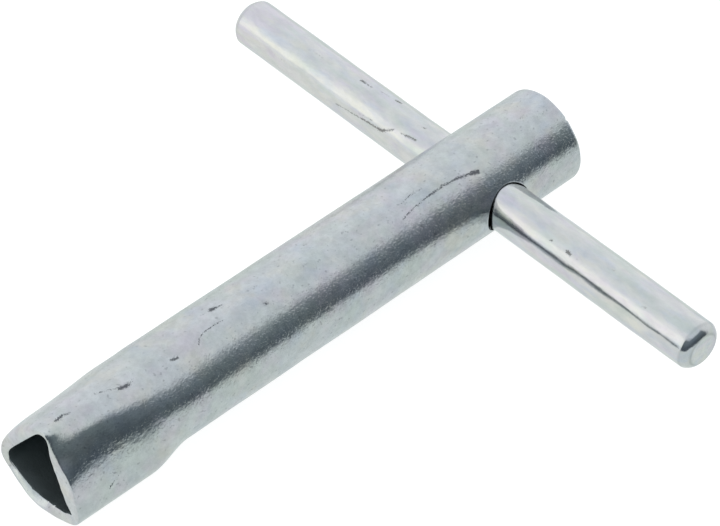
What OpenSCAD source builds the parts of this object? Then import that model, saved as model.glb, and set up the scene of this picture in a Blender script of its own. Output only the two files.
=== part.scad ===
// Tubular T-handle key with a formed triangular socket and a loose sliding bar.
// Millimetres. The key lies flat: X runs along the tube, Y along the bar, Z is up.
// The origin is the centre of the socket's mouth, and the tube runs towards +X.

/* [Tube] */
// Outer diameter of the tube
tube_d = 16; // [15:0.5:17]
// Thickness of the tube's wall
wall = 1.8; // [1.5:0.1:2]
// Length of the tube
tube_l = 100; // [90:1:130]

/* [Socket] */
// Side of the triangle that the socket takes
triangle_side = 14; // [13.5:0.25:15]
// Radius inside the socket's corners
corner_round = 0.5; // [0.3:0.05:0.6]
// Turn of the first corner about the tube, measured from the bar towards +Z
corner_turn = 98; // [0:1:119]
// Length of the ridges that the corners stand proud by
ridge_l = 14; // [12:0.5:18]
// Distance over which a ridge runs out into the round tube
ridge_run_out = 7.5; // [5:0.5:9]
// Distance over which the pressed flat runs out into the round tube
flat_run_out = 24; // [20:1:30]
// Depth scale of the short lip that is turned in beside the pressed flat
lip_l = 1.3; // [1:0.1:2]

/* [Bar] */
// Diameter of the bar
bar_d = 8; // [7:0.5:8.5]
// Length of the bar
bar_l = 100; // [80:1:120]
// Chamfer on each end of the bar
bar_chamfer = 1; // [0.5:0.1:1.5]
// Distance from the handle end of the tube to the bar's axis
bar_setback = 15.5; // [12:0.5:20]
// How far the bar's middle rests from the tube's axis
bar_offset = 1.8; // [-20:0.1:20]
// Radial clearance of the bar in its cross holes
bar_clearance = 0.1; // [0.05:0.01:0.1]

/* [Hidden] */

tube_r = tube_d / 2;
bore_r = tube_r - wall;
bar_r = bar_d / 2;
hole_r = bar_r + bar_clearance;
bar_x = tube_l - bar_setback;

// The socket's corners, drawn at the mouth: each is an arc whose centre is arc_far from the axis.
arc_far = triangle_side / sqrt(3) - 2 * corner_round;
arc_r = corner_round + wall;
ridge_r = arc_far + arc_r;

// How far each of the three sides is pressed at the mouth, from 0 (round) to 1 (flat).
pressed_side = 0.85;
lip_side = 0.7;
plain_side = 0.05;
// How much the side with the lip swells behind it, on the same scale.
swell = 0.1;
swell_full = 8;

// The pressed flat is at full depth up to flat_full, and gone at flat_end.
flat_full = 5;
flat_end = flat_full + flat_run_out;

// Small bevel on the rim of the handle end.
deburr = 0.3;
// Overlap of the formed end and the round tube, and the gap that keeps their skins apart.
overlap = 0.4;
skin_gap = 0.03;
bleed = 1;
round_fn = 96;

// Directions around a third of the section, as degrees away from its corner: close together
// on the tight corner and wide apart on the side.
half_steps = [0, 4, 8, 12, 17, 24, 34, 46];
third = concat(half_steps, [60], [for (i = [len(half_steps) - 1:-1:1]) 120 - half_steps[i]]);
ring_turns = [for (k = [0:2]) for (a = third) corner_turn + 120 * k + a];
ring_n = len(ring_turns);
widest_step = 14;

// Distances from the mouth at which the section is set out.
stations = concat(
    [0, 0.4, 0.9, 1.6, 2.6, 4, 6.5, 10],
    [for (t = [0:7]) ridge_l + t / 7 * ridge_run_out],
    [for (t = [1:2]) ridge_l + ridge_run_out + t / 3 * (flat_end - ridge_l - ridge_run_out)]
);

function mix(a, b, t) = a + (b - a) * t;

// Smooth fall from 1 to 0 as x goes from a to b.
function fall(x, a, b) =
    let (t = min(max((x - a) / (b - a), 0), 1))
    1 - t * t * (3 - 2 * t);

// How far a side is pressed at distance x from the mouth.
function pressed(side, x) =
    side == 0 ? pressed_side * fall(x, flat_full, flat_end)
    : side == 1 ? plain_side * fall(x, 0, ridge_l)
    : mix(-swell * fall(x, swell_full, ridge_l + ridge_run_out), lip_side, exp(-x / lip_l));

// Distance from the axis to the skin that lies inset below the tube's surface. The section is
// three corner arcs of radius q about points g from the axis, joined by side arcs that touch
// them. A side arc passes middle from the axis, and its centre is back from the axis by e.
function skin_at(turn, x, inset) =
    let (
        a = turn - corner_turn,
        side = floor(a / 120) % 3,
        from_middle = abs(a % 120 - 60),
        peak = mix(tube_r, ridge_r, fall(x, ridge_l, ridge_l + ridge_run_out)),
        q = mix(tube_r, arc_r, fall(x, flat_full, flat_end)),
        g = peak - q,
        middle = mix(tube_r, (peak + q) / 2, pressed(side, x)),
        e = (g * g - pow(middle - q, 2)) / (2 * (middle - q) - g),
        side_r = middle + e - inset,
        touch = atan2(g * sin(60), g / 2 + e),
        switch = atan2(side_r * sin(touch), side_r * cos(touch) - e),
        from_corner = 60 - from_middle
    )
    g < 0.001 ? tube_r - inset
    : from_middle < switch
        ? sqrt(pow(side_r, 2) - pow(e * sin(from_middle), 2)) - e * cos(from_middle)
        : sqrt(pow(q - inset, 2) - pow(g * sin(from_corner), 2)) + g * cos(from_corner);

function ring_point(x, turn, r) = [x, r * cos(turn), r * sin(turn)];

function skin(inset) =
    [for (x = stations) for (turn = ring_turns) ring_point(x, turn, skin_at(turn, x, inset))];

// Two plain rings that carry a skin into the wall of the straight tube, clear of its surfaces.
function end_rings(r) =
    [for (x = [flat_end, flat_end + overlap]) for (turn = ring_turns) ring_point(x, turn, r)];

// Triangles between two rings whose first points are at a and b.
function band(a, b) =
    [for (i = [0:ring_n - 1])
        let (j = (i + 1) % ring_n)
        each [[a + i, a + j, b + i], [a + j, b + j, b + i]]];

// The mouth end: an outer and an inner skin that turn from a round tube into the socket.
module formed_end() {
    outer = concat(skin(0), end_rings(tube_r - skin_gap));
    inner = concat(skin(wall), end_rings((bore_r + skin_gap) / cos(widest_step / 2)));
    second = len(outer);
    last = second - ring_n;
    outside = [for (first = [0:ring_n:last - 1]) each band(first + ring_n, first)];
    inside = [for (f = outside) [f[0] + second, f[2] + second, f[1] + second]];
    mouth = band(0, second);
    back = band(second + last, last);
    polyhedron(points = concat(outer, inner), faces = concat(outside, inside, mouth, back));
}

// A cylinder that lies along X, from x0 for length l.
module rod_x(x0, l, r1, r2) {
    translate([x0, 0, 0]) rotate([0, 90, 0]) cylinder(h = l, r1 = r1, r2 = r2, $fn = round_fn);
}

// A cylinder that lies along Y, from y0 for length l.
module rod_y(y0, l, r1, r2) {
    translate([bar_x, y0, 0]) rotate([-90, 0, 0]) cylinder(h = l, r1 = r1, r2 = r2, $fn = round_fn);
}

// The round part of the tube, open at the handle end, with a small bevel around its rim.
module straight_tube() {
    difference() {
        union() {
            rod_x(flat_end, tube_l - flat_end - deburr, tube_r, tube_r);
            rod_x(tube_l - deburr, deburr, tube_r, tube_r - deburr);
        }
        rod_x(flat_end - bleed, tube_l - flat_end + 2 * bleed, bore_r, bore_r);
    }
}

module socket_tube() {
    color([0.72, 0.74, 0.74])
    difference() {
        union() {
            formed_end();
            straight_tube();
        }
        rod_y(-tube_d, 2 * tube_d, hole_r, hole_r);
    }
}

module tommy_bar() {
    low = bar_offset - bar_l / 2;
    high = bar_offset + bar_l / 2;
    color([0.82, 0.83, 0.82])
    union() {
        rod_y(low, bar_chamfer, bar_r - bar_chamfer, bar_r);
        rod_y(low + bar_chamfer, bar_l - 2 * bar_chamfer, bar_r, bar_r);
        rod_y(high - bar_chamfer, bar_chamfer, bar_r, bar_r - bar_chamfer);
    }
}

socket_tube();
tommy_bar();
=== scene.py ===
"""Looks of a tubular key: a zinc plated tube with a pressed triangular socket, and its loose sliding bar.

Shapes are worked out in millimetres in the row frame, where X runs along the tube from the socket's mouth
and Y along the bar. mesh_piece() turns them into metres.
"""

import math

import bmesh
import bpy
import numpy as np
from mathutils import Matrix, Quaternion, Vector


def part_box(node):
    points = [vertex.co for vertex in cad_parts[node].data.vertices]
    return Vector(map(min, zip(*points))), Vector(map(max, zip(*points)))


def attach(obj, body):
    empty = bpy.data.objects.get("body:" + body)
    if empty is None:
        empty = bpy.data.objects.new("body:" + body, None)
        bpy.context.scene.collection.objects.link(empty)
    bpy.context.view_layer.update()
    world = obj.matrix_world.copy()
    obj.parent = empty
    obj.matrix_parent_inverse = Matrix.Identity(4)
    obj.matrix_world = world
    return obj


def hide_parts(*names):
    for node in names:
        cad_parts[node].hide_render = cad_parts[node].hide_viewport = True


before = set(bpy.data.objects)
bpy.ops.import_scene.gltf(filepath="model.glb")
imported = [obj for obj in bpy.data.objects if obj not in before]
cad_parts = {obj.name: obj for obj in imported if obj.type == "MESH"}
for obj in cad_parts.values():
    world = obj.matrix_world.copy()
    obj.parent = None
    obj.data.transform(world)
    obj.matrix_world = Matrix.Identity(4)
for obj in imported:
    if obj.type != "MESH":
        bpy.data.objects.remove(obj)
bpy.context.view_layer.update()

MM = 0.001

# The tube and the bar, as the frame has them.
tube_low, tube_high = (np.array(corner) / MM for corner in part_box("socket_tube"))
bar_low, bar_high = (np.array(corner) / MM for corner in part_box("tommy_bar"))
TUBE_L = tube_high[0]
BAR_X = (bar_low[0] + bar_high[0]) / 2
BAR_R = (bar_high[0] - bar_low[0]) / 2
BAR_CLEARANCE = 0.1
HOLE_R = BAR_R + BAR_CLEARANCE
TUBE_R = 8.0
WALL = 1.8
BORE_R = TUBE_R - WALL

# The formed end. Its section is a triangle whose corners are arcs and whose sides bow outwards. Corner A
# lies between the lip and the pressed flat, corner C between the flat and the far side, and corner B between
# the far side and the lip. BOW is how far the skin turns on the flat, on the far side and on the lip's side,
# in degrees each way from the side's middle.
CORNER_TURN = (100, 217, 340)
BOW = (20, 46, 46)
TRIANGLE_SIDE = 14.0
CORNER_ROUND = 0.5
FORMED_L = 29
# Corners B and C stand up to ridges.
RIDGE_R = TRIANGLE_SIDE / math.sqrt(3) - CORNER_ROUND + WALL
RIDGE_RUN_OUT = (14, 21.5)
ARC_R = CORNER_ROUND + WALL
ARC_R_C = 3.3
ARC_RUN_OUT = (5, FORMED_L)
# Corner A is lower and rounder: it reaches SOFT_REACH beyond the round tube, on an arc SOFT_ARC tighter.
SOFT_REACH = 0.4
SOFT_REACH_RUN_OUT = (7, 20)
SOFT_ARC = 3.6
SOFT_ARC_RUN_OUT = (4, 22)
# It stands up to a point only at the very mouth.
POINT_UP = 1.2
POINT_L = 1.5
POINT_TURN = 101
POINT_WIDTH = 8
# Beside that point the edge of the flat is pressed in a little further.
PRESS_IN = 0.9
PRESS_L = 1.5
PRESS_TURN = 125
PRESS_WIDTH = 22
# The lip is turned in over about LIP_L.
LIP_IN = 0.8
LIP_L = 1.3
LIP_TURN = 38
LIP_WIDTH = 40
# Steps of the table that holds the section.
TABLE_STEP = 0.1
TABLE_TURNS = 720

# The tube's mesh: steps around it, and the square of the grid that becomes a cross hole. The square is
# HOLE_TURN degrees high and HOLE_HALF long each way, and the grid bends round it out to WINDOW times that.
# Each hole's edges are rounded, and the bar has worn it by up to HOLE_WORN on the side towards the mouth.
TURN_COUNT = 300
TURN_STEP = 360 / TURN_COUNT
HOLE_COLUMNS = 22
HOLE_TURN = HOLE_COLUMNS * TURN_STEP
HOLE_HALF = 3.5
HOLE_STEPS = 18
WINDOW = 2
HOLE_ROUND = 0.14
HOLE_ROUND_INSIDE = 0.12
HOLE_WORN = 0.33

# Rims. Their unevenness fades over MOUTH_ZONE at the mouth and over FAR_ZONE at the handle end.
MOUTH_ZONE = 3.0
MOUTH_ROUND_INSIDE = 0.12
FAR_ZONE = 3.0
FAR_ROUND = 0.45
FAR_ROUND_INSIDE = 0.15
# Stretch over which the opening's own outline passes into the inner skin.
SOCKET_RUN_OUT = (2, 18)
# How far the uneven skins of the tube and the bar lie below their true surfaces on average.
TUBE_SHY = 0.02
BAR_SHY = 0.03


def mix(a, b, t):
    return a + (b - a) * t


def fall(x, a, b):
    """Smooth fall from 1 to 0 as x goes from a to b."""
    t = np.clip((x - a) / (b - a), 0, 1)
    return 1 - t * t * (3 - 2 * t)


def apart(turn, middle):
    """Degrees from middle to turn, from -180 to 180."""
    return (turn - middle + 180) % 360 - 180


def bump_at(turn, middle, width):
    """1 at middle, falling smoothly to 0 over about width degrees."""
    return np.exp(-((apart(turn, middle) / width) ** 2))


def around(turn, values):
    """Smooth value around the section, from values at corner A, the pressed flat, corner C, the far side,
    corner B and the lip."""
    place = ((turn - CORNER_TURN[0]) % 360) / 60
    first = np.floor(place).astype(int) % 6
    known = np.array(values, float)
    return mix(known[(first + 1) % 6], known[first], fall(place % 1, 0, 1))


def waves(points, length, seed, count=24):
    """Smooth noise of about unit size, whose bumps are about length apart."""
    draw = np.random.default_rng(seed)
    way = draw.normal(size=(count, 3))
    way /= np.linalg.norm(way, axis=1, keepdims=True)
    way *= draw.uniform(0.6, 1.4, (count, 1)) * 2 * math.pi / length
    phase = draw.uniform(0, 2 * math.pi, count)
    return np.sin(points @ way.T + phase).sum(axis=-1) * math.sqrt(2 / count)


def corner_arcs(x):
    """How far corners A, C and B reach from the axis at distance x from the mouth, and their arcs' radii."""
    reach_a = TUBE_R + SOFT_REACH * fall(x, *SOFT_REACH_RUN_OUT)
    arc_a = TUBE_R - SOFT_ARC * fall(x, *SOFT_ARC_RUN_OUT)
    reach = mix(TUBE_R, RIDGE_R, fall(x, *RIDGE_RUN_OUT))
    arc, arc_c = (mix(TUBE_R, r, fall(x, *ARC_RUN_OUT)) for r in (ARC_R, ARC_R_C))
    return np.stack([reach_a, reach, reach], axis=-1), np.stack([arc_a, arc_c, arc], axis=-1)


def outline(x):
    """The section's outer outline at each distance x from the mouth, one point for each direction of its
    normal, and those normals. The outline's radius of curvature is a corner's own on that corner, passes
    from one to the next over a side, and has the side's length spread over the degrees of its bow."""
    reach, arc = corner_arcs(x)
    at = np.radians(CORNER_TURN)
    outward = np.stack([np.cos(at), np.sin(at)], axis=-1)
    centre = (reach - arc)[..., None] * outward
    chord = np.roll(centre, -1, axis=1) - centre
    length = np.maximum(np.linalg.norm(chord, axis=-1), 1e-6)
    next_arc = np.roll(arc, -1, axis=1)
    tilt = np.arcsin(np.clip((arc - next_arc) / length, -1, 1))
    facing = np.arctan2(chord[..., 1], chord[..., 0]) - math.pi / 2 + tilt
    normal = np.linspace(at[0], at[0] + 2 * math.pi, TABLE_TURNS + 1)
    facing = at[0] + (facing - at[0]) % (2 * math.pi)

    bow = np.radians(BOW)
    chord_per_arc = np.sin(bow) / bow / (1 - (bow / math.pi) ** 2)
    off = np.clip((normal - facing[..., None]) / bow[:, None], -1, 1)
    passed = (1 + off + np.sin(math.pi * off) / math.pi) / 2
    spread = (1 + np.cos(math.pi * off)) / (2 * bow * chord_per_arc)[:, None]
    curve = arc[:, :1] + ((next_arc - arc)[..., None] * passed).sum(axis=1)
    curve += ((length * np.cos(tilt))[..., None] * spread).sum(axis=1)

    # The outline is walked round by its curvature, after taking out what would leave it open.
    along = np.stack([-np.sin(normal), np.cos(normal)], axis=-1)
    step = 2 * math.pi / TABLE_TURNS
    gap = (curve[:, :-1, None] * along[:-1]).sum(axis=1) * step
    curve -= (gap[:, None, :] * along).sum(axis=-1) / math.pi
    piece = curve[..., None] * along
    points = np.cumsum((piece[:, 1:] + piece[:, :-1]) / 2 * step, axis=1)
    normals = np.stack([np.cos(normal), np.sin(normal)], axis=-1)[1:]
    # It is then moved so that its corners reach as far as they should, as nearly as one move allows.
    nearest = [np.argmin(np.abs(normal[1:] - at[0] - (a - at[0]) % (2 * math.pi))) for a in at]
    short = reach - (points[:, nearest] * outward).sum(axis=-1)
    move = short @ outward @ np.linalg.inv(outward.T @ outward)
    return points + move[:, None], normals


def section_tables():
    """Distance from the axis to the outer and the inner skin: a row for each TABLE_STEP along the formed
    end, and a column for each step round it."""
    points, normals = outline(np.arange(0, FORMED_L + TABLE_STEP / 2, TABLE_STEP))
    turns = np.arange(TABLE_TURNS) * 360 / TABLE_TURNS
    tables = []
    for skin in (points, points - WALL * normals):
        found = np.degrees(np.arctan2(skin[..., 1], skin[..., 0])) % 360
        r = np.linalg.norm(skin, axis=-1)
        tables.append(np.array([np.interp(turns, a, b, period=360) for a, b in zip(found, r)]))
    return tables


OUTER_TABLE, INNER_TABLE = section_tables()


def skin_at(turn, x, inset):
    """Distance from the axis to the skin that lies inset below the tube's surface."""
    turn, x, inset = np.broadcast_arrays(turn, np.clip(x, 0, FORMED_L), inset)
    row, column = x / TABLE_STEP, turn % 360 / 360 * TABLE_TURNS
    i = np.minimum(row.astype(int), len(OUTER_TABLE) - 2)
    j = column.astype(int) % TABLE_TURNS

    def value(table):
        near, far = (mix(table[k, j], table[k, (j + 1) % TABLE_TURNS], column % 1) for k in (i, i + 1))
        return mix(near, far, row - i)

    lip = LIP_IN * bump_at(turn, LIP_TURN, LIP_WIDTH) * np.exp(-x / LIP_L)
    point = POINT_UP * bump_at(turn, POINT_TURN, POINT_WIDTH) * np.exp(-x / POINT_L)
    press = PRESS_IN * bump_at(turn, PRESS_TURN, PRESS_WIDTH) * np.exp(-x / PRESS_L)
    return mix(value(OUTER_TABLE) - lip + point - press, value(INNER_TABLE), inset / WALL)


def spaced(a, b, step):
    """Values from a up to b, b left out, about step apart."""
    return list(np.linspace(a, b, max(1, round((b - a) / step)), endpoint=False))


def skin_stations(step, far_round):
    """Distances from the mouth at which a skin is set out, and the index of the cross holes' first one."""
    reach = HOLE_HALF * WINDOW
    before = spaced(MOUTH_ZONE, BAR_X - reach, step)
    hole = list(BAR_X + np.linspace(-reach, reach, 2 * WINDOW * HOLE_STEPS, endpoint=False))
    after = spaced(BAR_X + reach, TUBE_L - far_round, step) + [TUBE_L - far_round]
    return np.array(before + hole + after), len(before) + (WINDOW - 1) * HOLE_STEPS


def end_profile(outer_round, inner_round, arc_steps):
    """(distance from the end, depth below the outer skin) across a wall's end: two rounded edges and the
    face between them."""
    rows = []
    for a in np.linspace(0, math.pi / 2, arc_steps + 1)[1:]:
        rows.append((outer_round * (1 - math.sin(a)), outer_round * (1 - math.cos(a))))
    for t in (0.25, 0.5, 0.75):
        rows.append((0, mix(outer_round, WALL - inner_round, t)))
    for a in np.linspace(0, math.pi / 2, 4)[:-1]:
        rows.append((inner_round * (1 - math.cos(a)), WALL - inner_round * (1 - math.sin(a))))
    return rows


def mouth_shift(turn, inset):
    """How far the mouth's end face lies back from the plane x = 0. On the far side the outer edge stands
    forward. The inner edge has two small nicks and a burr."""
    outer = around(turn, [0.15, 0.20, 0.00, -1.05, -0.65, -0.20])
    inner = around(turn, [0.10, 0.00, 0.00, 0.00, -0.15, 0.05])
    ragged = 0.02 * np.sin(np.radians(7 * turn + 40)) + 0.015 * np.sin(np.radians(17 * turn))
    nicks = 0.35 * bump_at(turn, 249, 0.9) + 0.15 * bump_at(turn, 262, 0.8)
    burr = 0.15 * bump_at(turn, 292, 1.5)
    return mix(outer, inner, inset / WALL) + ragged + (nicks - burr) * (inset / WALL) ** 4


def mouth_round(turn):
    """Radius of the mouth's outer edge: crisp beside the pressed flat, and generous along the lip."""
    return around(turn, [0.45, 0.25, 0.25, 0.3, 0.4, 0.8])


# The socket's opening: its sides as (turn, distance from the axis), where the bowed far side is given by
# two, and its two sharp corners as (turn, reach beyond the sides, width).
SOCKET_SIDES = [(38.5, 4.7), (160, 4.1), (257, 6.35), (302, 7.1)]
SOCKET_CRISPNESS = 5.5
SOCKET_CORNERS = [(106, 1.25, 7), (214, 1.0, 5.5)]


def socket_at(turn):
    """Distance from the axis to the edge of the opening: its sides in one smooth line, and the corners."""
    parts = [np.maximum(np.cos(np.radians(turn - side)) / r, 0) for side, r in SOCKET_SIDES]
    reach = sum(part**SOCKET_CRISPNESS for part in parts) ** (-1 / SOCKET_CRISPNESS)
    for corner, out, width in SOCKET_CORNERS:
        reach = reach + out * bump_at(turn, corner, width)
    return reach


def far_shift(turn, inset):
    """How far the handle end's face lies back from the tube's full length: sawn, with one small chip."""
    chip = 0.22 * bump_at(turn, 126, 1.6) * (1 - 0.7 * inset / WALL)
    uneven = 0.06 + 0.04 * np.sin(np.radians(3 * turn + 50)) + 0.02 * np.sin(np.radians(11 * turn))
    return chip + uneven


def worn(toward_handle):
    """How much wider the cross holes are where the bar has worn them, on the side towards the mouth."""
    return HOLE_WORN * np.maximum(0, -toward_handle) ** 2


def bend_round_holes(x, turn, r, edge):
    """Moves a skin's grid so that two of its squares become round holes of radius edge."""
    for middle in (0, 180):
        off = apart(turn, middle)
        across = (x - BAR_X) / HOLE_HALF
        up = np.sin(np.radians(off)) / math.sin(math.radians(HOLE_TURN))
        reach = np.maximum(np.maximum(np.abs(across), np.abs(up)), 1e-6)
        near = (np.abs(off) < 90) & (reach < WINDOW)
        t = np.clip((reach - 1) / (WINDOW - 1), 0, 1)
        length = np.maximum(np.hypot(across, up), 1e-6)
        wide = edge + worn(across / length)
        u = mix(wide * across / length, HOLE_HALF * WINDOW * across / reach, t)
        v = mix(wide * up / length, r * math.sin(math.radians(HOLE_TURN)) * WINDOW * up / reach, t)
        x = np.where(near, BAR_X + u, x)
        turn = np.where(near, middle + np.degrees(np.arcsin(np.clip(v / r, -1, 1))), turn)
    return x, turn


def tube_rings():
    """Rings of the tube's wall, one after another: the outer skin from the handle end to the mouth, the
    mouth's face, the inner skin, and the handle end's face. Gives points, depth below the outer skin, and
    the rings on which the cross holes start on the outer and the inner skin."""
    turn = np.arange(TURN_COUNT) * TURN_STEP
    edge = mouth_round(turn)
    opening = socket_at(turn)
    rows = []

    def add(x, inset, shift=0.0, hole_edge=None):
        x, inset, at = np.broadcast_arrays(x, inset, turn)
        r = skin_at(at, x, inset)
        r = r + (opening - skin_at(at, 0, WALL)) * (inset / WALL) ** 1.5 * fall(x, *SOCKET_RUN_OUT)
        x = x + shift
        if hole_edge:
            x, at = bend_round_holes(x, at, TUBE_R - inset, hole_edge)
        rows.append((x, at, r, inset))

    outer, outer_hole = skin_stations(0.3, FAR_ROUND)
    for x in outer[::-1]:
        shift = -far_shift(turn, 0) * fall(x, TUBE_L - FAR_ROUND, TUBE_L - FAR_ZONE)
        add(x, 0.0, shift, HOLE_R + HOLE_ROUND)
    outer_ring = len(outer) - 1 - outer_hole
    for t in np.linspace(1, 0, 13)[1:]:
        x = mix(edge, MOUTH_ZONE, t)
        add(x, 0.0, mouth_shift(turn, 0) * fall(x, 0, MOUTH_ZONE))
    for d, inset in end_profile(edge, MOUTH_ROUND_INSIDE, 8):
        add(d, inset, mouth_shift(turn, inset) * fall(d, 0, MOUTH_ZONE))
    for t in np.linspace(0, 1, 9)[:-1]:
        x = mix(MOUTH_ROUND_INSIDE, MOUTH_ZONE, t)
        add(x, WALL, mouth_shift(turn, WALL) * fall(x, 0, MOUTH_ZONE))
    inner, inner_hole = skin_stations(0.6, FAR_ROUND_INSIDE)
    inner_ring = len(rows) + inner_hole
    for x in inner:
        shift = -far_shift(turn, WALL) * fall(x, TUBE_L - FAR_ROUND, TUBE_L - FAR_ZONE)
        add(x, WALL, shift, HOLE_R + HOLE_ROUND_INSIDE)
    for d, inset in end_profile(FAR_ROUND, FAR_ROUND_INSIDE, 6)[::-1]:
        add(TUBE_L - d, inset, -far_shift(turn, inset))

    x, at, r, inset = (np.array(part) for part in zip(*rows))
    at = np.radians(at)
    points = np.stack([x, r * np.cos(at), r * np.sin(at)], axis=-1)
    return points, inset, outer_ring, inner_ring


def unevenness(points, inset):
    """How far the plated skin stands from its true shape: long soft waves with short and fine ones."""
    formed = fall(points[..., 0], 12, FORMED_L)
    long = mix(0.015, 0.008, formed) * waves(points, 18, 1)
    short = mix(0.004, 0.003, formed) * waves(points, 3.6, 2)
    fine = 0.0016 * waves(points, 0.9, 3)
    return (long + short + fine - TUBE_SHY) * (inset < WALL / 2)


def hole_loop(first_ring, step, middle_column):
    """(ring, column) of the grid's points along a cross hole's square, once round."""
    across = [(i, -HOLE_COLUMNS) for i in range(2 * HOLE_STEPS)]
    up = [(2 * HOLE_STEPS, j) for j in range(-HOLE_COLUMNS, HOLE_COLUMNS)]
    back = [(2 * HOLE_STEPS - i, HOLE_COLUMNS) for i in range(2 * HOLE_STEPS)]
    down = [(0, -j) for j in range(-HOLE_COLUMNS, HOLE_COLUMNS)]
    return [
        (first_ring + step * i, (middle_column + j) % TURN_COUNT) for i, j in across + up + back + down
    ]


def hole_wall(outer_edge, inner_edge):
    """Rings of points that line a cross hole, from just below the outer skin to just above the inner one."""
    side = np.sign(outer_edge[:, 1].mean())
    u, v = outer_edge[:, 0] - BAR_X, outer_edge[:, 2]
    length = np.hypot(u, v)
    u, v = u / length, v / length

    def ring(radius, skin_r, depth):
        radius = radius + worn(u)
        y = np.sqrt(skin_r**2 - (radius * v) ** 2) + depth
        return np.stack([BAR_X + radius * u, side * y, radius * v], axis=-1)

    rings = []
    for a in np.linspace(0, math.pi / 2, 7)[1:]:
        below = HOLE_ROUND * (1 - math.cos(a))
        rings.append(ring(HOLE_R + HOLE_ROUND * (1 - math.sin(a)), TUBE_R, -below))
    last = ring(HOLE_R, BORE_R, HOLE_ROUND_INSIDE)
    for t in (0.33, 0.67):
        rings.append(mix(rings[5], last, t))
    for a in np.linspace(0, math.pi / 2, 4)[:-1]:
        round_in = HOLE_ROUND_INSIDE
        rings.append(ring(HOLE_R + round_in * (1 - math.cos(a)), BORE_R, round_in * (1 - math.sin(a))))
    return rings


def tube_mesh():
    """Points, faces, and depth below the outer skin at each point."""
    points, inset, outer_ring, inner_ring = tube_rings()
    outward = points * [0, 1, 1]
    outward /= np.linalg.norm(outward, axis=-1, keepdims=True)
    points = points + outward * unevenness(points, inset)[..., None]
    ring_count = len(points)
    index = np.arange(ring_count * TURN_COUNT).reshape(ring_count, TURN_COUNT)
    here, ahead = index, np.roll(index, -1, axis=0)
    quads = np.stack([here, np.roll(here, -1, axis=1), np.roll(ahead, -1, axis=1), ahead], axis=-1)
    keep = np.ones((ring_count, TURN_COUNT), bool)
    vertices = [points.reshape(-1, 3)]
    depth = [inset.reshape(-1)]
    extra = []
    total = len(vertices[0])
    # At each cross hole, a square of the grid is left out of both skins, and a wall joins the two edges.
    for middle in (0, TURN_COUNT // 2):
        columns = [(middle + j) % TURN_COUNT for j in range(-HOLE_COLUMNS, HOLE_COLUMNS)]
        outer_rows = range(outer_ring - 2 * HOLE_STEPS, outer_ring)
        inner_rows = range(inner_ring, inner_ring + 2 * HOLE_STEPS)
        keep[np.ix_(outer_rows, columns)] = False
        keep[np.ix_(inner_rows, columns)] = False
        outer = [index[i, j] for i, j in hole_loop(outer_ring, -1, middle)]
        inner = [index[i, j] for i, j in hole_loop(inner_ring, 1, middle)]
        loops = [np.array(outer)]
        for ring in hole_wall(vertices[0][outer], vertices[0][inner]):
            loops.append(np.arange(total, total + len(ring)))
            vertices.append(ring)
            depth.append(np.full(len(ring), WALL / 2))
            total += len(ring)
        loops.append(np.array(inner))
        for a, b in zip(loops, loops[1:]):
            extra.append(np.stack([a, np.roll(a, -1), np.roll(b, -1), b], axis=-1))
    faces = np.concatenate([quads[keep]] + extra)
    used, faces = np.unique(faces, return_inverse=True)
    return np.concatenate(vertices)[used], faces.reshape(-1, 4), np.concatenate(depth)[used]


# The bar's mesh: steps around and along it, and its chamfer, whose edges are rounded by BAR_EDGE and whose
# middle stands BAR_BELLY proud of straight. The end faces are hollow by FACE_HOLLOW.
BAR_TURNS = 160
BAR_STEP = 0.4
FACE_HOLLOW = 0.02
BAR_CHAMFER = 1.3
BAR_EDGE = 0.14
BAR_BELLY = 0.14
# Width of the darker line along each edge of the chamfer, either way.
EDGE_DARKENING_WIDTH = 0.35


def bar_half_profile():
    """(distance from the end, radius) from the middle of an end face to the start of the plain round."""
    slant = math.sqrt(0.5)
    face_r = BAR_R - BAR_CHAMFER
    rows = [(FACE_HOLLOW * (1 - (r / face_r) ** 2), r) for r in np.linspace(0.1, face_r - BAR_EDGE, 16)]
    rows += [(BAR_EDGE * slant * t, face_r - BAR_EDGE + BAR_EDGE * (1 + slant) * t) for t in (0.45, 1)]
    for t in np.linspace(0, 1, 9)[1:-1]:
        d = mix(BAR_EDGE, BAR_CHAMFER - BAR_EDGE, t)
        r = mix(face_r + BAR_EDGE, BAR_R - BAR_EDGE, t)
        proud = BAR_BELLY * 4 * t * (1 - t) * slant
        rows.append((d - proud, r + proud))
    for back, below in ((-0.5, 0.52), (0.6, 0.08), (2, 0)):
        rows.append((BAR_CHAMFER + back * BAR_EDGE, BAR_R - below * BAR_EDGE))
    return rows


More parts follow.
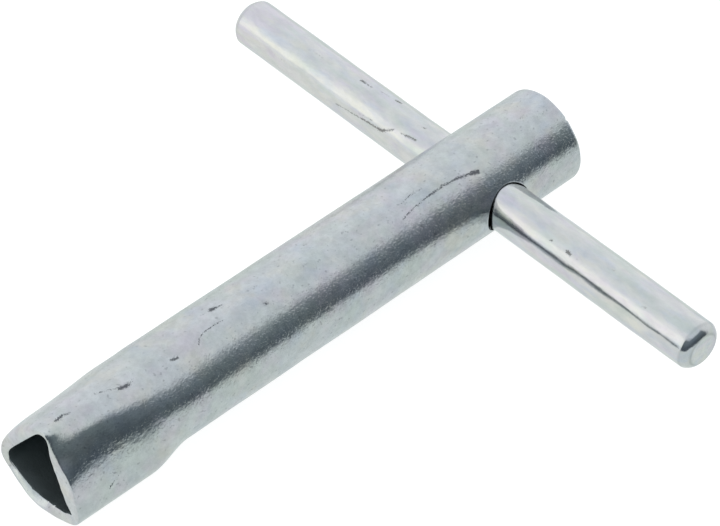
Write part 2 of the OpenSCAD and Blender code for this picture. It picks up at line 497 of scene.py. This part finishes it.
def bar_mesh():
    """Points and faces of the bar, turned about its axis and closed by a point in the middle of each end."""
    half = bar_half_profile()
    start = half[-1][0]
    low, high = bar_low[1], bar_high[1]
    profile = [(low + d, r) for d, r in half]
    profile += [(y, BAR_R) for y in spaced(low + start, high - start, BAR_STEP)[1:]]
    profile += [(high - d, r) for d, r in half[::-1]]
    turn = np.radians(np.arange(BAR_TURNS) * 360 / BAR_TURNS)
    y, r = (np.array(part)[:, None] for part in zip(*profile))
    ones = np.ones_like(turn)
    points = np.stack([r * np.cos(turn), y * ones, r * np.sin(turn)], axis=-1)
    long = 0.016 * waves(points * [1, 0.4, 1], 6, 11)
    short = 0.008 * waves(points * [1, 0.5, 1], 2.2, 12)
    swell = long + short - BAR_SHY
    points[..., 0::2] *= (1 + swell / BAR_R)[..., None]
    points[..., 0] += BAR_X
    rows = len(points)
    index = np.arange(rows * BAR_TURNS).reshape(rows, BAR_TURNS)
    here, ahead = index[:-1], index[1:]
    quads = np.stack([here, np.roll(here, -1, axis=1), np.roll(ahead, -1, axis=1), ahead], axis=-1)
    faces = quads.reshape(-1, 4).tolist()
    for ring, pole in ((index[0], rows * BAR_TURNS), (index[-1], rows * BAR_TURNS + 1)):
        faces += [[a, b, pole] for a, b in zip(ring.tolist(), np.roll(ring, -1).tolist())]
    poles = [[BAR_X, low + half[0][0], 0], [BAR_X, high - half[0][0], 0]]
    return np.concatenate([points.reshape(-1, 3), poles]), faces


def mesh_piece(name, points, faces, material):
    """A smooth mesh object from points in millimetres."""
    mesh = bpy.data.meshes.new(name)
    mesh.from_pydata((points * MM).tolist(), [], faces if isinstance(faces, list) else faces.tolist())
    work = bmesh.new()
    work.from_mesh(mesh)
    bmesh.ops.recalc_face_normals(work, faces=work.faces)
    work.to_mesh(mesh)
    work.free()
    mesh.shade_smooth()
    mesh.materials.append(material)
    piece = bpy.data.objects.new(name, mesh)
    bpy.context.scene.collection.objects.link(piece)
    return piece


def store(piece, name, values):
    """Keeps one number for each point of the piece's mesh."""
    layer = piece.data.attributes.new(name, "FLOAT", "POINT")
    layer.data.foreach_set("value", np.asarray(values, np.float32))


def stroke(places, path, width):
    """1 on a path drawn over the skin, falling to 0 at width from it and below 0 beyond. Both are in
    millimetres along the piece and round it."""
    nearest = np.full(len(places), np.inf)
    for a, b in zip(path, path[1:]):
        a, b = np.array(a), np.array(b)
        t = np.clip(((places - a) @ (b - a)) / ((b - a) @ (b - a)), 0, 1)
        nearest = np.minimum(nearest, np.linalg.norm(places - a - t[:, None] * (b - a), axis=1))
    return 1 - nearest / width


# Scratches and stains on the tube: (depth of tone, half width, path), where a path's points are
# (mm from the mouth, turn in degrees from +Y to +Z).
TUBE_MARKS = [
    (0.60, 0.18, [(66, 119.5), (67.5, 116.5), (69, 114.5), (72, 112.5)]),
    (0.72, 0.22, [(72, 112.5), (74, 112), (76, 112.5), (77.8, 113.5)]),
    (0.70, 0.34, [(75.3, 111), (76.3, 113)]),
    (0.80, 0.26, [(77.8, 113.5), (79.6, 116), (81, 119)]),
    (1.00, 0.36, [(80.6, 118.0), (81.6, 120.4)]),
    (0.55, 0.20, [(68, 103), (70, 100), (72.5, 101)]),
    (1.00, 0.36, [(33.1, 82.2), (33.8, 83.0)]),
    (0.65, 0.18, [(33.9, 83.2), (35.2, 85.0)]),
    (0.45, 0.20, [(31.2, 81), (32.2, 82)]),
    (0.75, 0.28, [(39.9, 112), (40.3, 112.8)]),
    (0.62, 0.18, [(27.6, 109.5), (28.4, 104), (29.6, 101), (31.6, 100.5), (33.0, 101.5)]),
    (0.60, 0.18, [(10.5, 92), (12.0, 96), (13.8, 101)]),
    (0.95, 0.34, [(13.8, 102), (15.2, 104)]),
    (0.55, 0.22, [(15.2, 104), (16.4, 101)]),
    (0.80, 0.28, [(22.8, 106.8), (23.8, 108.4)]),
    (0.85, 0.32, [(3.2, 94), (4.4, 92.5)]),
    (0.70, 0.24, [(4.4, 92.5), (5.5, 95)]),
    (0.45, 0.16, [(2.2, 80), (3.6, 76), (5.6, 77)]),
    (0.55, 0.20, [(51.6, 77), (52.2, 78.6)]),
    (0.45, 0.22, [(49.2, 121.5), (49.9, 123)]),
    (0.45, 0.30, [(57.5, 92), (58.2, 94.5)]),
    (0.60, 0.22, [(6.0, 194), (7.0, 189.5)]),
    (0.45, 0.20, [(7.6, 188), (8.4, 184)]),
    (0.55, 0.22, [(11.2, 213), (12.0, 217)]),
    (0.55, 0.24, [(6.8, 180), (7.8, 183)]),
    (0.55, 0.18, [(23.2, 163), (23.5, 165.5)]),
    (0.50, 0.26, [(49, 172), (50.4, 175)]),
    (0.50, 0.20, [(62.8, 176), (63.6, 178)]),
    (0.45, 0.22, [(93.5, 96), (94.8, 99)]),
]

# Scores and pits on the bar: (depth of tone, half width, path), where a path's points are
# (mm along Y, turn in degrees from +X to +Z).
BAR_MARKS = [
    (0.62, 0.17, [(26.8, 169), (24.5, 165), (22.9, 163.5), (21, 160)]),
    (0.80, 0.20, [(21, 160), (19.4, 158), (17.5, 156)]),
    (0.95, 0.26, [(17.5, 156), (16.5, 154), (16.0, 149)]),
    (0.70, 0.22, [(16.0, 149), (15.4, 143), (14.7, 136)]),
    (0.50, 0.20, [(22.5, 154), (20.5, 151), (18.8, 147)]),
    (0.55, 0.22, [(13.2, 133), (12.4, 131)]),
    (0.78, 0.22, [(12.4, 131), (11.2, 127), (10.3, 125.5)]),
    (0.90, 0.26, [(25.3, 86.5), (24.5, 85)]),
    (0.62, 0.20, [(24.5, 85), (23.0, 84)]),
    (0.50, 0.18, [(21.4, 78), (20.2, 74), (19.6, 75)]),
    (0.82, 0.28, [(18.4, 72), (17.6, 69.5)]),
    (0.60, 0.24, [(11.2, 93), (10.7, 89)]),
    (0.45, 0.22, [(36.5, 101), (34.6, 97), (33.4, 99)]),
    (0.45, 0.20, [(40.5, 161), (38.8, 158)]),
    (1.00, 0.28, [(-22.5, 127.0), (-23.2, 128.8)]),
    (0.80, 0.18, [(-19.1, 128.5), (-19.4, 127.5)]),
    (0.55, 0.18, [(-24.6, 128), (-24.8, 129)]),
    (0.60, 0.20, [(-38.0, 128.5), (-38.7, 124.5)]),
    (0.45, 0.20, [(-29.5, 104), (-30.6, 101)]),
]


def tone_of_marks(along, turn, radius, marks):
    """The darkest mark at each point: its tone times how near its path the point is."""
    places = np.stack([along, np.radians(turn) * radius], axis=-1)
    tone = np.zeros(len(places))
    for strength, width, path in marks:
        route = [(x, math.radians(t) * radius) for x, t in path]
        tone = np.maximum(tone, strength * np.clip(stroke(places, route, 2 * width), 0, 1))
    return tone


def shader_node(tree, kind, inputs=(), **settings):
    """Adds a node with its settings, and links or fills its inputs. Gives its first output, or the node
    itself if it has none."""
    made = tree.nodes.new(kind)
    for name, value in settings.items():
        setattr(made, name, value)
    for name, value in dict(inputs).items():
        if isinstance(value, bpy.types.NodeSocket):
            tree.links.new(value, made.inputs[name])
        else:
            made.inputs[name].default_value = value
    return made.outputs[0] if made.outputs else made


def sums(tree, operation, a, b=0.0):
    """A sum, product or other operation on a and b."""
    return shader_node(tree, "ShaderNodeMath", {0: a, 1: b}, operation=operation)


def ramp_between(tree, value, low, high, to_low=0.0, to_high=1.0):
    """Smooth change from to_low to to_high as value goes from low to high."""
    inputs = {"Value": value, "From Min": low, "From Max": high, "To Min": to_low, "To Max": to_high}
    return shader_node(tree, "ShaderNodeMapRange", inputs, interpolation_type="SMOOTHSTEP")


def blend_colours(tree, amount, a, b):
    """Colour a where amount is 0, and b where it is 1."""
    made = tree.nodes.new("ShaderNodeMix")
    made.data_type = "RGBA"
    for name, value in (("Factor", amount), ("A", a), ("B", b)):
        target = [s for s in made.inputs if s.name == name and s.enabled][0]
        if isinstance(value, bpy.types.NodeSocket):
            tree.links.new(value, target)
        else:
            target.default_value = value
    return [s for s in made.outputs if s.enabled][0]


def millimetres(tree, stretch=(1, 1, 1)):
    """The piece's own coordinates in millimetres, each axis scaled by stretch."""
    place = tree.nodes.new("ShaderNodeTexCoord").outputs["Object"]
    scale = tuple(s / MM for s in stretch)
    return shader_node(tree, "ShaderNodeVectorMath", {0: place, 1: scale}, operation="MULTIPLY")


def noise(tree, vector, size, detail=2.0, roughness=0.5):
    """Noise from about 0 to 1 whose features are about size millimetres across."""
    inputs = {"Vector": vector, "Scale": 1 / size, "Detail": detail, "Roughness": roughness}
    return shader_node(tree, "ShaderNodeTexNoise", inputs)


def attribute(tree, name):
    """The number that store() kept under this name."""
    made = tree.nodes.new("ShaderNodeAttribute")
    made.attribute_name = name
    return made.outputs["Fac"]


def tinted(tree, base, vector, size, tints, strength):
    """base, drifting towards each tint in soft patches of about size millimetres."""
    colour = base
    for k, tint in enumerate(tints):
        apart_by = (37.0 * k, 11.0 * k, 5.0 * k)
        moved = shader_node(tree, "ShaderNodeVectorMath", {0: vector, 1: apart_by}, operation="ADD")
        patch = ramp_between(tree, noise(tree, moved, size, 3.0, 0.55), 0.45, 0.68, 0.0, strength)
        colour = blend_colours(tree, patch, colour, (*tint, 1))
    return colour


def finished_metal(name, build):
    """A material whose Principled shader takes the inputs that build(tree) gives."""
    material = bpy.data.materials.new(name)
    material.use_nodes = True
    tree = material.node_tree
    tree.nodes.clear()
    principled = shader_node(tree, "ShaderNodeBsdfPrincipled", {"Metallic": 1.0, **build(tree)})
    shader_node(tree, "ShaderNodeOutputMaterial", {"Surface": principled})
    return material


def ragged_marks(tree, vector, size):
    """The piece's marks with a broken edge: 0 on clean metal, 1 in a mark."""
    tone = attribute(tree, "mark")
    broken = noise(tree, vector, size, 3.0, 0.7)
    spread = sums(tree, "ADD", tone, sums(tree, "MULTIPLY", sums(tree, "SUBTRACT", broken, 0.5), 1.8))
    return sums(tree, "MULTIPLY", ramp_between(tree, spread, 0.38, 0.72), ramp_between(tree, tone, 0.0, 0.5))


def tube_zinc(tree):
    """Bright zinc over drawn tube: a fine grain with lengthwise streaks and small freckles, soft tints, dark
    scratches, and a bore darker in colour, partly duller plating and partly painted shade. The formed end is
    a little smoother."""
    place = millimetres(tree)
    lengthwise = millimetres(tree, (0.2, 1, 1))
    clean = (0.56, 0.595, 0.61, 1)
    tints = [(0.48, 0.53, 0.59), (0.62, 0.62, 0.57), (0.57, 0.55, 0.60), (0.53, 0.58, 0.56)]
    colour = tinted(tree, clean, place, 6.0, tints, 0.75)
    speck = ramp_between(tree, noise(tree, place, 1.8, 6.0, 0.72), 0.3, 0.7, 0.88, 1.07)
    colour = shader_node(tree, "ShaderNodeVectorMath", {0: colour, 3: speck}, operation="SCALE")
    freckles = ramp_between(tree, noise(tree, place, 0.6, 1.0, 0.5), 0.66, 0.74, 0.0, 0.36)
    colour = blend_colours(tree, freckles, colour, (0.2, 0.21, 0.22, 1))
    marks = ragged_marks(tree, place, 0.22)
    colour = blend_colours(tree, sums(tree, "MULTIPLY", marks, 0.85), colour, (0.06, 0.065, 0.08, 1))
    # The inner skin is darkened in colour: partly a duller plating, partly painted shade inside the bore.
    inside = attribute(tree, "inside")
    colour = blend_colours(tree, inside, colour, (0.27, 0.32, 0.33, 1))
    patchy = noise(tree, place, 2.5, 3.0, 0.6)
    along = shader_node(tree, "ShaderNodeSeparateXYZ", {0: place})
    formed = ramp_between(tree, along, FORMED_L - 5, 8)
    rough = ramp_between(tree, patchy, 0.3, 0.7, 0.19, 0.25)
    rough = sums(tree, "SUBTRACT", rough, sums(tree, "MULTIPLY", formed, 0.06))
    rough = sums(tree, "ADD", rough, sums(tree, "MULTIPLY", marks, 0.25))
    rough = sums(tree, "ADD", rough, sums(tree, "MULTIPLY", inside, 0.3))
    grain = noise(tree, place, 0.42, 3.0, 0.6)
    streaks = noise(tree, lengthwise, 0.5, 2.0, 0.5)
    pimples = ramp_between(tree, noise(tree, place, 0.34, 2.0, 0.5), 0.5, 0.72)
    lumps = noise(tree, place, 1.1, 2.0, 0.5)
    height = sums(tree, "ADD", sums(tree, "MULTIPLY", grain, 0.9), sums(tree, "MULTIPLY", streaks, 0.4))
    height = sums(tree, "ADD", height, sums(tree, "MULTIPLY", pimples, 0.65))
    height = sums(tree, "MULTIPLY", height, sums(tree, "SUBTRACT", 1.0, sums(tree, "MULTIPLY", formed, 0.5)))
    height = sums(tree, "ADD", height, sums(tree, "MULTIPLY", lumps, 1.6))
    height = sums(tree, "SUBTRACT", height, sums(tree, "MULTIPLY", marks, 1.0))
    normal = shader_node(tree, "ShaderNodeBump", {"Height": height, "Distance": 0.02 * MM, "Strength": 1.0})
    return {"Base Color": colour, "Roughness": rough, "Normal": normal}


def bar_zinc(tree):
    """Zinc over drawn bar: smoother and brighter than the tube, with faint lengthwise lines, dark scores and
    pits, and darker lines along the edges of its chamfers."""
    place = millimetres(tree)
    lengthwise = millimetres(tree, (1, 0.06, 1))
    clean = (0.665, 0.675, 0.67, 1)
    tints = [(0.55, 0.60, 0.67), (0.69, 0.70, 0.64), (0.63, 0.60, 0.68), (0.58, 0.64, 0.61)]
    colour = tinted(tree, clean, millimetres(tree, (1, 0.3, 1)), 2.2, tints, 0.7)
    specks = noise(tree, millimetres(tree, (1, 0.4, 1)), 1.2, 5.0, 0.65)
    speck = ramp_between(tree, specks, 0.3, 0.7, 0.93, 1.03)
    colour = shader_node(tree, "ShaderNodeVectorMath", {0: colour, 3: speck}, operation="SCALE")
    marks = ragged_marks(tree, place, 0.2)
    colour = blend_colours(tree, sums(tree, "MULTIPLY", marks, 0.8), colour, (0.15, 0.15, 0.145, 1))
    # Darker along the chamfers' edges, and a little over the chamfers themselves.
    edge_darkening = sums(tree, "MULTIPLY", attribute(tree, "edge_darkening"), 0.45)
    colour = blend_colours(tree, edge_darkening, colour, (0.25, 0.27, 0.27, 1))
    rough = ramp_between(tree, noise(tree, lengthwise, 1.5, 3.0, 0.6), 0.3, 0.7, 0.12, 0.16)
    rough = sums(tree, "ADD", rough, sums(tree, "MULTIPLY", marks, 0.3))
    grain = noise(tree, place, 0.4, 3.0, 0.6)
    lines = noise(tree, lengthwise, 0.35, 2.0, 0.5)
    dents = noise(tree, millimetres(tree, (1, 0.5, 1)), 1.3, 2.0, 0.5)
    height = sums(tree, "ADD", sums(tree, "MULTIPLY", grain, 0.35), sums(tree, "MULTIPLY", lines, 0.5))
    height = sums(tree, "ADD", height, sums(tree, "MULTIPLY", dents, 3.0))
    height = sums(tree, "SUBTRACT", height, sums(tree, "MULTIPLY", marks, 2.0))
    normal = shader_node(tree, "ShaderNodeBump", {"Height": height, "Distance": 0.009 * MM, "Strength": 1.0})
    return {"Base Color": colour, "Roughness": rough, "Normal": normal}


def make_tube():
    points, faces, depth = tube_mesh()
    piece = mesh_piece("socket_tube_plated", points, faces, finished_metal("tube_zinc", tube_zinc))
    turn = np.degrees(np.arctan2(points[:, 2], points[:, 1])) % 360
    tone = tone_of_marks(points[:, 0], turn, TUBE_R, TUBE_MARKS)
    store(piece, "mark", tone * (depth < 0.01))
    # The inner skin, which the tube's material darkens partly as duller plating and partly as painted shade.
    store(piece, "inside", depth > WALL - 0.01)
    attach(piece, "tube")
    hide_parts("socket_tube")
    return piece


def bar_edge_darkening(points):
    """A darker line along each edge of the bar's chamfers, with a little darkening on the chamfers
    themselves.
    """
    from_end = np.minimum(points[:, 1] - bar_low[1], bar_high[1] - points[:, 1])
    from_axis = np.hypot(points[:, 0] - BAR_X, points[:, 2])
    inner = (1 - np.abs(from_axis - (BAR_R - BAR_CHAMFER)) / EDGE_DARKENING_WIDTH).clip(0, 1)
    outer = (1 - np.abs(from_end - BAR_CHAMFER) / EDGE_DARKENING_WIDTH).clip(0, 1)
    lines = np.maximum(inner * (from_end < BAR_CHAMFER), 0.6 * outer)
    chamfer = (from_end < BAR_CHAMFER) & (from_axis > BAR_R - BAR_CHAMFER)
    return np.maximum(lines, 0.2 * chamfer)


def make_bar():
    points, faces = bar_mesh()
    piece = mesh_piece("tommy_bar_plated", points, faces, finished_metal("bar_zinc", bar_zinc))
    turn = np.degrees(np.arctan2(points[:, 2], points[:, 0] - BAR_X)) % 360
    store(piece, "mark", tone_of_marks(points[:, 1], turn, BAR_R, BAR_MARKS))
    store(piece, "edge_darkening", bar_edge_darkening(points))
    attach(piece, "bar")
    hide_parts("tommy_bar")
    return piece


# The studio.
FLOOR_HALF = 1.5
FLOOR_WHITE = 0.4
FLOOR_GLOW = 0.86


def make_floor():
    """A plain pale floor that the key lies on. It glows a little, as a light table does."""
    level = min(tube_low[2], -TUBE_R) * MM
    mesh = bpy.data.meshes.new("floor")
    corners = [(x, y, level) for x, y in ((-1, -1), (1, -1), (1, 1), (-1, 1))]
    mesh.from_pydata([(x * FLOOR_HALF, y * FLOOR_HALF, z) for x, y, z in corners], [], [(0, 1, 2, 3)])
    floor = bpy.data.objects.new("floor", mesh)
    bpy.context.scene.collection.objects.link(floor)
    material = bpy.data.materials.new("pale_floor")
    material.use_nodes = True
    tree = material.node_tree
    tree.nodes.clear()
    surface = shader_node(tree, "ShaderNodeBsdfPrincipled", {
        "Base Color": (FLOOR_WHITE, FLOOR_WHITE, FLOOR_WHITE, 1),
        "Roughness": 1.0,
        "Specular IOR Level": 0.0,
        "Emission Color": (1, 1, 1, 1),
        "Emission Strength": FLOOR_GLOW,
    })
    shader_node(tree, "ShaderNodeOutputMaterial", {"Surface": surface})
    mesh.materials.append(material)
    floor.visible_glossy = False


# The dark screen, by direction: it stands at SHADE_AZIMUTH. SHADE_SIDE are the cosines of the angles from
# there at which it starts and is full, and SHADE_FOOT and SHADE_HEAD are the sines of such elevations.
SHADE_AZIMUTH = math.radians(-105)
SHADE_SIDE = (math.cos(math.radians(70)), math.cos(math.radians(54)))
SHADE_FOOT = (math.sin(math.radians(-10)), math.sin(math.radians(-4)))
SHADE_HEAD = (math.sin(math.radians(32)), math.sin(math.radians(50)))


def make_world():
    """A soft pale studio: even light, a little stronger from -X, with one dark screen standing on the -Y
    side. The camera itself sees plain white beyond the floor."""
    world = bpy.data.worlds.new("studio")
    bpy.context.scene.world = world
    world.use_nodes = True
    tree = world.node_tree
    tree.nodes.clear()
    way = tree.nodes.new("ShaderNodeTexCoord").outputs["Generated"]
    split = tree.nodes.new("ShaderNodeSeparateXYZ")
    tree.links.new(way, split.inputs[0])
    x, y, z = split.outputs

    # The sky: a little dimmer towards -Y and overhead, with a soft box low on the -X side.
    sky = blend_colours(tree, ramp_between(tree, y, -0.9, 0.6), (0.80, 0.83, 0.86, 1), (0.98, 1.0, 1.03, 1))
    sky = blend_colours(tree, ramp_between(tree, z, 0.70, 0.95, 0.0, 0.75), sky, (0.80, 0.84, 0.88, 1))
    softbox = sums(tree, "MULTIPLY", ramp_between(tree, x, -0.45, -0.75), ramp_between(tree, z, 0.08, 0.2))
    softbox = sums(tree, "MULTIPLY", softbox, ramp_between(tree, z, 0.75, 0.5))
    sky = blend_colours(tree, softbox, sky, (1.22, 1.22, 1.18, 1))
    # Below the horizon: what a pale table gives back.
    behind = ramp_between(tree, sums(tree, "SUBTRACT", y, x), 0.4, 1.1)
    below = blend_colours(tree, behind, (0.81, 0.86, 0.85, 1), (0.95, 0.96, 0.95, 1))
    sky = blend_colours(tree, ramp_between(tree, z, 0.0, -0.12), sky, below)

    # The dark screen.
    flat = sums(tree, "SQRT", sums(tree, "ADD", sums(tree, "MULTIPLY", x, x), sums(tree, "MULTIPLY", y, y)))
    ahead = sums(tree, "ADD", sums(tree, "MULTIPLY", x, math.cos(SHADE_AZIMUTH)),
                 sums(tree, "MULTIPLY", y, math.sin(SHADE_AZIMUTH)))
    shade = ramp_between(tree, sums(tree, "DIVIDE", ahead, flat), *SHADE_SIDE)
    shade = sums(tree, "MULTIPLY", shade, ramp_between(tree, z, *SHADE_FOOT))
    shade = sums(tree, "MULTIPLY", shade, ramp_between(tree, z, SHADE_HEAD[1], SHADE_HEAD[0]))
    height = ramp_between(tree, z, 0.0, 0.45)
    screen = blend_colours(tree, height, (0.09, 0.11, 0.13, 1), (0.185, 0.22, 0.245, 1))
    light = blend_colours(tree, shade, sky, screen)

    seen = tree.nodes.new("ShaderNodeLightPath").outputs["Is Camera Ray"]
    colour = blend_colours(tree, seen, light, (0.96, 0.96, 0.96, 1))
    background = shader_node(tree, "ShaderNodeBackground", {"Color": colour, "Strength": 1.0})
    shader_node(tree, "ShaderNodeOutputWorld", {"Surface": background})


# The camera: the point it looks at, near the tube's axis, and how it stands to that point. Lengths are in
# metres, but LENS and SENSOR in millimetres.
AIM = (0.0603, -0.0009, 0.0)
CAMERA_AZIMUTH = math.radians(-131.51)
CAMERA_ELEVATION = math.radians(45.55)
CAMERA_DISTANCE = 0.5059
CAMERA_ROLL = math.radians(1.41)
LENS = 169.74
SENSOR = 36.0


def make_camera():
    camera = bpy.data.objects.new("camera", bpy.data.cameras.new("camera"))
    bpy.context.scene.collection.objects.link(camera)
    away = Vector((
        math.cos(CAMERA_AZIMUTH) * math.cos(CAMERA_ELEVATION),
        math.sin(CAMERA_AZIMUTH) * math.cos(CAMERA_ELEVATION),
        math.sin(CAMERA_ELEVATION),
    ))
    camera.location = Vector(AIM) + away * CAMERA_DISTANCE
    camera.rotation_mode = "QUATERNION"
    camera.rotation_quaternion = (-away).to_track_quat("-Z", "Y") @ Quaternion((0, 0, 1), -CAMERA_ROLL)
    camera.data.lens = LENS
    camera.data.sensor_width = SENSOR
    camera.data.clip_start = 0.01
    camera.data.clip_end = 10
    bpy.context.scene.camera = camera


make_tube()
make_bar()
make_floor()
make_world()
make_camera()
bpy.context.scene.view_settings.view_transform = "Standard"
